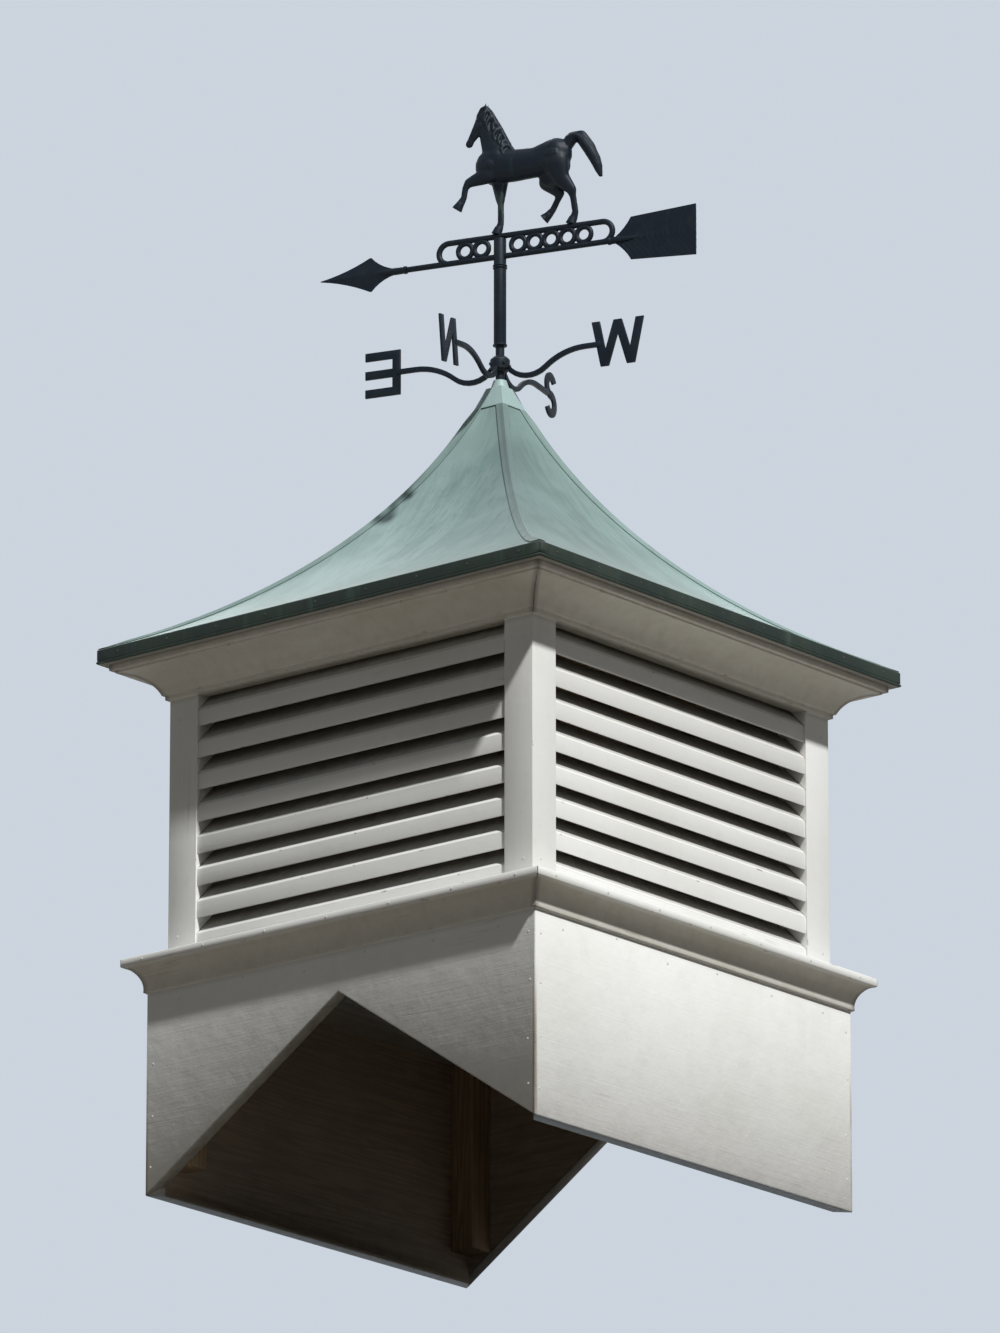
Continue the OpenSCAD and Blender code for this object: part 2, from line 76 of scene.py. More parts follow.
APEX_Z = 1.127
APEX_HALF = 0.012
ROOF_BOW = 0.058
HEM_HALF = 0.3801
HIP_WIDTH = 0.016
HUB_Z = 1.162
HUB_RADIUS = 0.0135
SLEEVE_Z = 1.188
SLEEVE_RADIUS = 0.0085
SHAFT_Z = 1.316
BAR_RISE = 0.029
RING_X = 0.027
RING_PITCH = 0.024
RING_RADIUS = 0.0105
HORSE_Z = 1.349
VANE_TURN = math.radians(106)

# The cap's foot as a share of the roof curve, and how much the horse's round drawing is flattened
CAP_FOOT = 0.945
SWELL = 0.62

# Sizes of what only the scene has
SHEET = 0.0007
STRIP = 0.0006
LIP_RADIUS = 0.0022
FOLD_RISE = 0.0022
FOLD_HALF = 0.0032
RING_WIRE = 0.0036
COLLAR_WIRE = 0.0014
COVE_BEAD = 0.0016
POST_BEAD = 0.0015

# Widths of the rounded edges
BOARD_EDGE = 0.0012
MOULDING_EDGE = 0.0009
LOUVRE_EDGE = 0.0014
TURNED_EDGE = 0.0006
LETTER_EDGE = 0.0007
CAP_EDGE = 0.0004
SHAFT_EDGE = 0.0003

# Nail and screw heads: radius, height and number of sides
ROOF_NAIL = (0.0021, 0.0012, 8)
HEM_NAIL = (0.0020, 0.0009, 8)
BOARD_NAIL = (0.0023, 0.0005, 10)
SILL_NAIL = (0.0021, 0.0008, 10)
CORNICE_NAIL = (0.0019, 0.0008, 10)
POST_NAIL = (0.0023, 0.0008, 10)
HUB_SCREW = (0.0030, 0.0026, 6)

# The view, in degrees, metres and millimetres: the camera looks at a place that lies CAMERA_DROP
# under the middle of the object
CAMERA_AZIMUTH = -50.5
CAMERA_ELEVATION = -17.0
CAMERA_DISTANCE = 14.8
CAMERA_LENS = 300
CAMERA_DROP = 0.03

# Each lamp's azimuth, elevation, level, and width of the disc that its light comes from
LAMPS = {"high_lamp": (-22, 50, 1.225, 3.0), "back_fill": (135, 30, 0.24, 34.0)}
SKY_LEVEL = 0.078
FLOOR_HALF = 15
FLOOR_Z = -0.001

SIDES = {"front": 0, "right": 90, "back": 180, "left": 270}
FORWARD = (0, -1, 0)

# The roof curve is a circle through the edge and the top, hollow by ROOF_BOW
roof_run = ROOF_HALF - APEX_HALF
roof_rise = APEX_Z - EDGE_Z
roof_chord = math.hypot(roof_run, roof_rise)
ROOF_RADIUS = (roof_chord ** 2 / 4 + ROOF_BOW ** 2) / (2 * ROOF_BOW)
ROOF_SPREAD = 2 * math.atan(2 * ROOF_BOW / roof_chord)
EAVE_SLOPE = math.atan2(roof_rise, roof_run) - ROOF_SPREAD
CURVE_X = ROOF_HALF + ROOF_RADIUS * math.sin(EAVE_SLOPE)
CURVE_Z = EDGE_Z + ROOF_RADIUS * math.cos(EAVE_SLOPE)


def roof_slope(share):
    """Slope of the roof curve, from its edge at 0 to its top at 1."""
    return EAVE_SLOPE + 2 * ROOF_SPREAD * share


def roof_point(share):
    """Distance from the axis and height on the roof curve, from its edge at 0 to its top at 1."""
    slope = roof_slope(share)
    return CURVE_X - ROOF_RADIUS * math.sin(slope), CURVE_Z - ROOF_RADIUS * math.cos(slope)


def roof_level(out):
    """Height of the roof's surface at a distance from the axis."""
    return CURVE_Z - math.sqrt(ROOF_RADIUS ** 2 - (CURVE_X - out) ** 2)


def towards(azimuth, elevation):
    """The direction to a place round the object: azimuth 0 is the front, and 90 the right."""
    a, e = math.radians(azimuth), math.radians(elevation)
    return Vector((math.sin(a) * math.cos(e), -math.cos(a) * math.cos(e), math.sin(e)))


class Value:
    """One output in a finish's nodes, which works like a number in an expression."""

    def __init__(self, finish, socket):
        self.finish = finish
        self.socket = socket

    def work(self, operation, *terms):
        return self.finish.add("ShaderNodeMath", dict(enumerate(terms)), operation=operation)

    def __add__(self, other):
        return self.work("ADD", self, other)

    def __radd__(self, other):
        return self.work("ADD", other, self)

    def __sub__(self, other):
        return self.work("SUBTRACT", self, other)

    def __rsub__(self, other):
        return self.work("SUBTRACT", other, self)

    def __mul__(self, other):
        return self.work("MULTIPLY", self, other)

    def __truediv__(self, other):
        return self.work("DIVIDE", self, other)

    def __gt__(self, other):
        return self.work("GREATER_THAN", self, other)

    def __abs__(self):
        return self.work("ABSOLUTE", self)

    def fraction(self):
        return self.work("FRACT", self)

    def most(self, other):
        return self.work("MAXIMUM", self, other)

    def least(self, other):
        return self.work("MINIMUM", self, other)

    def rise(self, low, high):
        """0 at low and 1 at high, eased at both ends. Low may be the larger of the two."""
        return self.finish.add(
            "ShaderNodeMapRange",
            {"Value": self, "From Min": low, "From Max": high, "To Min": 0.0, "To Max": 1.0},
            interpolation_type="SMOOTHSTEP")


class Finish:
    """A surface finish in the making, whose nodes all come from add()."""

    def __init__(self, name):
        self.material = bpy.data.materials.new(name)
        self.material.use_nodes = True
        self.tree = self.material.node_tree
        self.shader = self.tree.nodes["Principled BSDF"]
        self.place = self.add("ShaderNodeTexCoord", output="Object")
        self.x, self.y, self.z = self.parts(self.place)

    def add(self, kind, inputs=None, output=0, **settings):
        """One node: its settings first, then the numbers, colours or links of its sockets."""
        node = self.tree.nodes.new(kind)
        for name, setting in settings.items():
            setattr(node, name, setting)
        for name, value in (inputs or {}).items():
            self.feed(node.inputs[name], value)
        return Value(self, node.outputs[output])

    def feed(self, socket, value):
        if isinstance(value, Value):
            self.tree.links.new(value.socket, socket)
        elif isinstance(value, tuple) and len(value) == 3 and socket.type == "RGBA":
            socket.default_value = (*value, 1.0)
        else:
            socket.default_value = value

    def parts(self, vector):
        """The three numbers of a place."""
        node = self.tree.nodes.new("ShaderNodeSeparateXYZ")
        self.tree.links.new(vector.socket, node.inputs[0])
        return [Value(self, socket) for socket in node.outputs]

    def point(self, x, y, z):
        return self.add("ShaderNodeCombineXYZ", {"X": x, "Y": y, "Z": z})

    def out(self):
        """Distance from the rod's axis, square to the side that the place is on."""
        return abs(self.x).most(abs(self.y))

    def moved(self, scale=(1, 1, 1), turn=(0, 0, 0), place=None):
        """The place on the piece, stretched or turned before a pattern reads it."""
        return self.add("ShaderNodeMapping", {
            "Vector": place or self.place, "Scale": scale, "Rotation": turn})

    def cloud(self, scale, detail=4.0, place=None, rough=0.55, bend=0.0):
        """Soft noise from 0 to 1, with so many blotches in a metre."""
        return self.add("ShaderNodeTexNoise", {
            "Vector": place or self.place, "Scale": scale, "Detail": detail, "Roughness": rough,
            "Distortion": bend})

    def cells(self, scale, place):
        """Distance to the borders between cells, with so many cells in a metre."""
        return self.add("ShaderNodeTexVoronoi", {"Vector": place, "Scale": scale}, "Distance",
                        feature="DISTANCE_TO_EDGE")

    def worn_edge(self):
        """1 on the narrow faces that round a piece's edges, and 0 elsewhere."""
        return self.add("ShaderNodeAttribute", output="Fac", attribute_name="edge")

    def mix(self, share, under, over):
        """A colour that goes from under to over as share goes from 0 to 1."""
        return self.add("ShaderNodeMix", {0: share, 6: under, 7: over}, 2, data_type="RGBA")

    def blend(self, share, low, high):
        """A number that goes from low to high as share goes from 0 to 1."""
        return self.add("ShaderNodeMix", {0: share, 2: low, 3: high}, data_type="FLOAT")

    def done(self, colour, rough, height, depth, strength, metal=0.0, **plain):
        """Joins the results to the shader. Plain holds what is the same all over."""
        self.feed(self.shader.inputs["Base Color"], colour)
        self.feed(self.shader.inputs["Roughness"], rough)
        self.feed(self.shader.inputs["Metallic"], metal)
        for name, value in plain.items():
            self.feed(self.shader.inputs[name.replace("_", " ").title().replace("Ior", "IOR")], value)
        bump = self.add("ShaderNodeBump", {"Strength": strength, "Distance": depth, "Height": height},
                        "Normal")
        self.feed(self.shader.inputs["Normal"], bump)
        return self.material


# Colours of bare wood
RAW_PALE = (0.68, 0.52, 0.34)
RAW_DARK = (0.40, 0.265, 0.145)
RAW_AGED = (0.33, 0.27, 0.2)
RAW_RUBBED = (0.58, 0.45, 0.29)
PRIMER = (0.34, 0.33, 0.30)

# Colours of the paint, of what soils it, and of the painted shade on it
WHITE = (0.865, 0.868, 0.838)
OLD_WHITE = (0.74, 0.735, 0.675)
GREY_WHITE = (0.70, 0.70, 0.675)
MOTTLED_WHITE = (0.60, 0.60, 0.56)
RUBBED_WHITE = (0.56, 0.57, 0.55)
RINSED_WHITE = (0.50, 0.53, 0.54)
# Painted warm shade, with some dust, for the undersides of the mouldings
UNDERSIDE_DUST_AND_SHADE = (0.46, 0.425, 0.33)
# Dark for real dirt and for painted shade
GRIME_AND_SHADE = (0.20, 0.18, 0.145)
CORNER_DARK = (0.10, 0.085, 0.065)
STAIN = (0.25, 0.18, 0.115)
SPLIT_DARK = (0.30, 0.26, 0.20)
JOINT_DARK = (0.10, 0.08, 0.06)
CHIP_BROWN = (0.34, 0.29, 0.23)

# Tones of the roof's skin, each on the darker front and back sheets and on the side sheets, which carry a
# paler painted sheen
SKIN_BASE = ((0.125, 0.190, 0.170), (0.180, 0.285, 0.265))
SKIN_STREAK = ((0.195, 0.285, 0.262), (0.275, 0.395, 0.375))
SKIN_PATCH = ((0.250, 0.355, 0.335), (0.350, 0.475, 0.455))
SKIN_BROAD = ((0.330, 0.470, 0.430), (0.400, 0.540, 0.510))
SKIN_FLANK_SHEEN = ((0.335, 0.470, 0.445), (0.390, 0.530, 0.505))

# Tones of the roof's skin that are the same on every side
SKIN_FINE = (0.105, 0.155, 0.140)
SKIN_MOTTLE = (0.135, 0.185, 0.160)
SKIN_BROWN = (0.115, 0.120, 0.090)
SKIN_TOP = (0.14, 0.24, 0.21)
SKIN_LOW = (0.125, 0.175, 0.145)
# Painted shade beside the corner between the front and the left side
SKIN_CORNER_SHADE = (0.105, 0.160, 0.150)
STRIP_TONE = (0.125, 0.180, 0.170)
STRIP_FOOT = (0.024, 0.040, 0.034)
CAP_TONE = (0.42, 0.56, 0.55)
BARE_COPPER = (0.16, 0.085, 0.045)
HEM_DARK = (0.010, 0.019, 0.014)
HEM_PALE = (0.022, 0.034, 0.024)
HEM_GREEN = (0.050, 0.085, 0.066)
HEM_BROWN = (0.045, 0.026, 0.016)

# Colours of the compass and the vane
METAL_DARK = (0.002, 0.006, 0.013)
METAL_PALE = (0.006, 0.013, 0.019)
METAL_GREEN = (0.014, 0.038, 0.038)
METAL_BROWN = (0.036, 0.029, 0.020)
METAL_BARE = (0.085, 0.060, 0.036)
SEAM_GREEN = (0.05, 0.075, 0.065)

# Colours of the floor and the sky, where they are seen and where they only light the object
FLOOR_SEEN = (0.74, 0.74, 0.73)
FLOOR_LIGHT = (0.092, 0.077, 0.058)
SKY_SEEN = (0.60, 0.66, 0.73)
SKY_LIGHT = (0.86, 0.93, 1.0)


def along(axis, squeeze):
    """A scale that draws a pattern out along one axis."""
    return tuple(squeeze if i == axis else 1.0 for i in range(3))


def raw_wood_layers(finish, axis, place=None):
    """Colour and height of bare softwood whose grain runs along one axis."""
    wander = finish.cloud(3.0, 2.0, finish.moved(along(axis, 0.3), place=place))
    rings = finish.cloud(46.0, 3.0, finish.moved(along(axis, 0.035), place=place), bend=0.6)
    lines = (abs((rings * 9.0 + wander * 3.0).fraction() - 0.5) * 2.0).rise(0.05, 0.95)
    fibre = finish.cloud(420.0, 3.0, finish.moved(along(axis, 0.02), place=place))
    tone = finish.cloud(7.0, 3.0, place=place)
    colour = finish.mix(lines * 0.55 + fibre * 0.3, RAW_PALE, RAW_DARK)
    colour = finish.mix(tone.rise(0.4, 0.75) * 0.5, colour, RAW_AGED)
    return colour, fibre * 0.6 + lines * 0.4


def bare_wood(name, axis, around=False):
    """Bare softwood. Around makes the grain follow the four sides of a ring."""
    finish = Finish(name)
    place = None
    if around:
        front = abs(finish.y) > abs(finish.x)
        along_side = finish.blend(front, finish.y, finish.x)
        across_side = finish.blend(front, finish.x, finish.y)
        place = finish.point(along_side, across_side, finish.z)
        axis = 0
    colour, height = raw_wood_layers(finish, axis, place)
    if around:
        primed = finish.out().rise(BOX_HALF - 0.002, BOX_HALF)
        primed = primed * finish.z.rise(EAVES_Z + 0.012, EAVES_Z + 0.010)
        colour = finish.mix(primed, colour, PRIMER)
    colour = finish.mix(finish.worn_edge() * 0.35, colour, RAW_RUBBED)
    return finish.done(colour, finish.blend(height, 0.72, 0.9), height, 0.0006, 0.6)


def white_paint(name, axis, foot=False, under=None, louvre_dust_and_shade=False, mitred=False, sealant=False):
    """Old white paint on a board whose grain runs along one axis.

    foot adds the splashed and stained lower edge of the base, a thin line of painted contact shade
    along its foot, and the bare wood inside it, under names the height of a moulding that drips on
    what is below it and paints shade in a narrow band under it, louvre_dust_and_shade paints shade and
    some dust on what lies deep in the louvres and on the upper blades, mitred opens the joints at
    the corners and paints warm shade and some dust on the undersides, and sealant is a greyer paint
    over a soft bead.
    """
    finish = Finish(name)
    out = finish.out()
    grain = finish.cloud(300.0, 4.0, finish.moved(along(axis, 0.022)))
    brush = finish.cloud(700.0, 2.0, finish.moved(along(axis, 0.012)))
    broad = finish.cloud(4.5, 4.0)
    mottle = finish.cloud(55.0, 6.0, rough=0.65)
    speck = finish.cloud(210.0, 3.0)
    splits = finish.cells(150.0, finish.moved(along(axis, 0.018)))
    few = finish.cloud(13.0, 3.0, finish.moved(along(axis, 0.35)))
    split = splits.rise(0.030, 0.010) * few.rise(0.64, 0.74)

    colour = finish.mix(broad.rise(0.42, 0.78) * 0.45, GREY_WHITE if sealant else WHITE, OLD_WHITE)
    colour = finish.mix(mottle.rise(0.5, 0.8) * 0.14, colour, MOTTLED_WHITE)
    dirt_and_shade = speck.rise(0.66, 0.86) * 0.2
    height = grain * 0.35 + brush * 0.25 + mottle * 0.5
    if louvre_dust_and_shade:
        # Painted shade, with some dust, on what lies behind the front of the louvres and deep between the
        # blades
        behind = out.rise(BOX_HALF - 0.0045, BOX_HALF - 0.009)
        deep = out.rise(BOX_HALF - 0.006, BOX_HALF - BLADE_DEPTH)
        dirt_and_shade = dirt_and_shade + (behind * 0.45 + deep * 0.60) * (0.6 + mottle * 0.8)
        # Grime on the worn edges, and painted shade on the upper blades under the eaves
        dirt_and_shade = dirt_and_shade + finish.worn_edge() * 0.16 + finish.z.rise(0.44, 0.66) * 0.14
    if under is not None:
        streak = finish.cloud(34.0, 4.0, finish.moved(along(2, 0.06)))
        fall = finish.z.rise(under - 0.16, under)
        # Drip streaks below the moulding, and painted shade in a narrow band just under it
        dirt_and_shade = dirt_and_shade + streak.rise(0.5, 0.75) * fall * 0.06 + finish.z.rise(under - 0.010, under) * 0.25
    if foot:
        above = finish.z - (BASE_HALF - abs(finish.y)) * SADDLE_RISE
        splash = above.rise(0.055, 0.0) * (0.25 + mottle * 0.75)
        # Splashed dirt near the foot, and a thin line of painted contact shade with some dirt along the foot
        dirt_and_shade = dirt_and_shade + splash.rise(0.2, 0.95) * 0.15 + above.rise(0.0035, 0.0005) * (0.2 + mottle * 0.6)
        rubbed = finish.cloud(24.0, 5.0, rough=0.6)
        colour = finish.mix(rubbed.rise(0.45, 0.75) * 0.12, colour, RUBBED_WHITE)
        height = height + rubbed * 2.4
        wash = finish.cloud(9.0, 4.0, finish.moved(along(2, 0.5))).rise(0.48, 0.72)
        colour = finish.mix(wash * above.rise(0.16, 0.02) * 0.07, colour, RINSED_WHITE)
        corner = abs(finish.x).least(abs(finish.y)).rise(BASE_HALF - 0.006, BASE_HALF - 0.001)
        run = finish.cloud(40.0, 3.0, finish.moved(along(2, 0.2)))
        leak = corner * finish.z.rise(0.22, 0.10) * run.rise(0.3, 0.6)
        colour = finish.mix(leak * 0.8, colour, STAIN)
    colour = finish.mix(dirt_and_shade.least(0.92), colour, GRIME_AND_SHADE)
    colour = finish.mix(split * 0.6, colour, SPLIT_DARK)
    chips = finish.worn_edge() * finish.cloud(46.0, 5.0).rise(0.63, 0.67)
    colour = finish.mix(chips * 0.8, colour, CHIP_BROWN)
    height = height - split - chips * 0.8
    if mitred:
        # Painted shade, warm as with light bounced up from below, with some dust, over the cornice and under
        # the sill
        dust_and_underside_shade = (finish.z > CORNICE_FOOT_Z - 0.01).most(finish.z.rise(SILL_TOP - 0.010, SILL_TOP - 0.014))
        colour = finish.mix(dust_and_underside_shade * (0.30 + mottle * 0.45), colour, UNDERSIDE_DUST_AND_SHADE)
        corner = abs(abs(finish.x) - abs(finish.y))
        # A darker band along the mitred corners of those undersides
        corner_darkening = dust_and_underside_shade * corner.rise(0.011, 0.001) * (0.30 + mottle * 0.5)
        colour = finish.mix(corner_darkening, colour, CORNER_DARK)
        joint = corner.rise(0.0016, 0.0004) * finish.cloud(26.0, 2.0).rise(0.38, 0.60)
        colour = finish.mix(joint * 0.9, colour, JOINT_DARK)
        height = height - joint * 1.5
    rough = finish.blend(broad, 0.46, 0.62)
    if foot:
        wood, wood_height = raw_wood_layers(finish, axis)
        inside = out.rise(BASE_HALF - BOARD + 0.001, BASE_HALF - BOARD - 0.0005)
        colour = finish.mix(inside, colour, wood)
        height = finish.blend(inside, height, wood_height)
        rough = finish.blend(inside, rough, 0.8)
    return finish.done(colour, rough, height, 0.0008, 0.55, specular_ior_level=0.4)


def green_copper(name, pale=0.5, over=None, over_share=0.35):
    """Copper with a green skin, streaked down the slope and dark at its folded edge.

    pale goes from 0, the darker front and back sheets, to 1, the side sheets, which carry a paler
    painted sheen. over is the tone of a strip or cap that was made of another sheet than the roof: it
    has no folded edge, and is dark at its foot. The sheets carry painted shade beside the corner
    between the front and the left side, and a paler painted sheen away from it.
    """
    finish = Finish(name)
    front = abs(finish.y) > abs(finish.x)
    cross = finish.blend(front, finish.y, finish.x)
    out = finish.out()
    sheet = finish.point(cross, out * 0.16, finish.z * 0.16)
    streak = finish.cloud(46.0, 4.0, sheet, bend=0.4)
    fine = finish.cloud(210.0, 3.0, sheet)
    patch = finish.cloud(10.0, 5.0, rough=0.6)
    mottle = finish.cloud(80.0, 6.0, rough=0.7)
    dents = finish.cloud(8.0, 1.0)

    def shade(tones):
        less_sheen, painted_sheen = tones
        return tuple(s + (g - s) * pale for s, g in zip(less_sheen, painted_sheen))

    colour = finish.mix(streak.rise(0.38, 0.64), shade(SKIN_BASE), shade(SKIN_STREAK))
    colour = finish.mix(patch.rise(0.47, 0.66) * 0.6, colour, shade(SKIN_PATCH))
    colour = finish.mix(fine.rise(0.52, 0.70) * 0.40, colour, SKIN_FINE)
    colour = finish.mix(mottle.rise(0.52, 0.70) * 0.45, colour, SKIN_MOTTLE)
    broad = finish.cloud(3.2, 2.0, bend=0.3)
    colour = finish.mix(broad.rise(0.50, 0.66) * 0.45, colour, shade(SKIN_BROAD))
    brown = finish.cloud(22.0, 5.0, sheet, rough=0.65)
    colour = finish.mix(brown.rise(0.60, 0.72) * 0.5, colour, SKIN_BROWN)
    top = finish.z.rise(APEX_Z - 0.20, APEX_Z)
    colour = finish.mix(top * streak.rise(0.35, 0.55) * 0.4, colour, SKIN_TOP)
    low = finish.z.rise(EDGE_Z + 0.100, EDGE_Z)
    colour = finish.mix(low * (0.45 + mottle.rise(0.35, 0.6) * 0.25), colour, SKIN_LOW)
    # -1 at the corner between the front and the left side, and 1 at the two corners next to it; painted
    # shade darkens the sheets beside the first, and a painted sheen pales them towards the others
    lie = (finish.x + finish.y) / out + 1.0
    # Painted shade beside the front-left corner
    near = lie.rise(0.2, -1.0) * (0.30 + streak.rise(0.4, 0.6) * 0.20)
    colour = finish.mix(near, colour, SKIN_CORNER_SHADE)
    # Painted sheen, paler towards the corners away from the front-left one
    away = lie.rise(-0.2, 1.0) * (0.32 + patch.rise(0.4, 0.6) * 0.22)
    colour = finish.mix(away, colour, shade(SKIN_FLANK_SHEEN))
    if over:
        colour = finish.mix(over_share, colour, over)
        colour = finish.mix(finish.z.rise(EDGE_Z + 0.024, EDGE_Z + 0.004) * 0.8, colour, STRIP_FOOT)
    else:
        colour = finish.mix(finish.z.rise(EDGE_Z + 0.004, EDGE_Z - 0.002), colour, HEM_DARK)
    wear = finish.worn_edge() * mottle.rise(0.45, 0.6)
    colour = finish.mix(wear * 0.5, colour, BARE_COPPER)
    rough = finish.blend(streak, 0.46, 0.64)
    height = mottle * 0.35 + streak * 0.25 + dents * 3.0
    return finish.done(colour, rough, height, 0.0011, 0.5, metal=0.10, specular_ior_level=0.5,
                       sheen_weight=0.2, sheen_roughness=0.4)


def dark_hem(name):
    """The sheet's folded edge, where the skin is nearly black, with green and brown runs down it."""
    finish = Finish(name)
    patch = finish.cloud(12.0, 4.0, rough=0.6)
    drip = finish.cloud(60.0, 4.0, finish.moved(along(2, 0.15)))
    grain = finish.cloud(160.0, 4.0)
    colour = finish.mix(patch.rise(0.42, 0.66), HEM_DARK, HEM_PALE)
    colour = finish.mix(drip.rise(0.56, 0.76) * 0.5, colour, HEM_GREEN)
    colour = finish.mix(grain.rise(0.60, 0.80) * 0.4, colour, HEM_BROWN)
    height = grain * 0.5 + patch * 1.2
    return finish.done(colour, finish.blend(patch, 0.55, 0.75), height, 0.0008, 0.5, metal=0.1,
                       specular_ior_level=0.35)


def dark_metal(name, seam=False):
    """Dark weathered brass and copper, nearly black, with a trace of green in it.

    seam adds the soldered joint along the middle of a figure made of two pressed halves.
    """
    finish = Finish(name)
    blotch = finish.cloud(38.0, 5.0, rough=0.65)
    speck = finish.cloud(240.0, 4.0)
    drip = finish.cloud(90.0, 3.0, finish.moved(along(2, 0.12)))
    colour = finish.mix(blotch.rise(0.4, 0.75), METAL_DARK, METAL_PALE)
    colour = finish.mix(drip.rise(0.60, 0.80) * 0.45, colour, METAL_GREEN)
    colour = finish.mix(speck.rise(0.62, 0.8) * 0.25, colour, METAL_BROWN)
    bare = finish.worn_edge() * blotch.rise(0.45, 0.65)
    colour = finish.mix(bare * 0.4, colour, METAL_BARE)
    height = blotch * 0.5 + speck * 0.4
    if seam:
        _, side, _ = finish.parts(finish.moved(turn=(0, 0, -VANE_TURN)))
        joint = abs(side).rise(0.0009, 0.0003)
        colour = finish.mix(joint * 0.6, colour, SEAM_GREEN)
        height = height + joint * 1.2
    rough = finish.blend(blotch, 0.42, 0.62)
    return finish.done(colour, rough, height, 0.0004, 0.6, metal=0.2, specular_ior_level=0.28)


FINISHES = {
    "base_across": white_paint("white_base_front", 0, foot=True, under=COVE_FOOT_Z),
    "base_side": white_paint("white_base_side", 1, foot=True, under=COVE_FOOT_Z),
    "moulding_across": white_paint("white_moulding_front", 0, mitred=True),
    "moulding_side": white_paint("white_moulding_side", 1, mitred=True),
    "upright": white_paint("white_upright", 2, under=CORNICE_FOOT_Z),
    "blade_across": white_paint("white_blade_front", 0, louvre_dust_and_shade=True),
    "blade_side": white_paint("white_blade_side", 1, louvre_dust_and_shade=True),
    "wood_upright": bare_wood("bare_wood_upright", 2),
    "wood_around": bare_wood("bare_wood_around", 0, around=True),
    # The front and back sheets, and the side sheets with a paler painted sheen
    "copper_less_sheen": green_copper("green_copper_less_sheen", 0.0),
    "copper_painted_sheen": green_copper("green_copper_painted_sheen", 1.0),
    "copper_strip": green_copper("green_copper_strip", 0.5, over=STRIP_TONE),
    "copper_cap": green_copper("green_copper_cap", 1.0, over=CAP_TONE, over_share=0.6),
    "copper_nail": green_copper("green_copper_nail", 0.0),
    "copper_hem": dark_hem("green_copper_hem"),
    "metal": dark_metal("dark_metal"),
    "figure": dark_metal("dark_metal_figure", seam=True),
    "bead": white_paint("white_bead", 2, sealant=True),
}


def finish_of(node):
    """The finish of a node, and the name of its slot."""
    side = "across" if node.endswith(("_front", "_back")) else "side"
    if node.startswith("base_wall"):
        return FINISHES["base_" + side], "white_paint"
    if node.startswith(("sill", "cornice")):
        return FINISHES["moulding_" + side], "white_paint"
    if node.startswith("louvres"):
        return FINISHES["blade_" + side], "white_paint"
    if node.startswith("post"):
        return FINISHES["upright"], "white_paint"
    if node in ("base_corner_blocks", "king_post"):
        return FINISHES["wood_upright"], "bare_wood"
    if node.startswith(("eaves", "roof_deck", "roof_ribs")):
        return FINISHES["wood_around"], "bare_wood"
    if node.startswith("roof_copper"):
        return FINISHES["copper_less_sheen" if side == "across" else "copper_painted_sheen"], "green_copper"
    if node in ("hip_strips", "apex_cap"):
        return FINISHES["copper_strip" if node == "hip_strips" else "copper_cap"], "green_copper"
    return FINISHES["metal"], "dark_metal"


def piece_of(name, bm, body, material, slot, sharp=35.0):
    """Makes a bmesh a named piece of the object that rides on a body."""
    mesh = bpy.data.meshes.new(name)
    bm.to_mesh(mesh)
    bm.free()
    mesh.materials.append(material)
    mesh.shade_smooth()
    mesh.set_sharp_from_angle(angle=math.radians(sharp))
    piece = bpy.data.objects.new(name, mesh)
    bpy.context.scene.collection.objects.link(piece)
    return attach(piece, body)


def merged(node):
    """A node's shape with its triangles joined and its flat faces whole."""
    bm = bmesh.new()
    bm.from_mesh(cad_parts[node].data)
    bmesh.ops.remove_doubles(bm, verts=bm.verts, dist=2e-5)
    bmesh.ops.dissolve_limit(bm, angle_limit=math.radians(0.6), verts=bm.verts, edges=bm.edges)
    return bm


def ease_edges(bm, width, segments=2, sharp=30.0):
    """Rounds the sharp edges and marks the rounded faces as edge for the finish."""
    edge = bm.loops.layers.float.get("edge") or bm.loops.layers.float.new("edge")
    edges = [e for e in bm.edges if len(e.link_faces) == 2 and e.calc_face_angle(0) > math.radians(sharp)]
    eased = bmesh.ops.bevel(bm, geom=edges, offset=width, segments=segments, profile=0.5, affect="EDGES",
                            clamp_overlap=True, material=-1)
    for face in eased["faces"]:
        for loop in face.loops:
            loop[edge] = 1.0


VANE_NODES = ("vane_sleeve", "arrow_shaft", "arrow_head", "arrow_tail", "horse")


def dressed(node, width, segments=2, sharp=30.0):
    """A node finished as its maker would, with eased edges, in place of the plain solid."""
    bm = merged(node)
    ease_edges(bm, width, segments, sharp)
    material, slot = finish_of(node)
    body = "vane" if node in VANE_NODES else "cupola"
    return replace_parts(piece_of(node + "_finished", bm, body, material, slot), node)


def thicken(sheet, thickness):
    """Gives a sheet its thickness, inwards from the side that shows."""
    solid = sheet.modifiers.new("thickness", "SOLIDIFY")
    solid.thickness = thickness
    solid.offset = -1


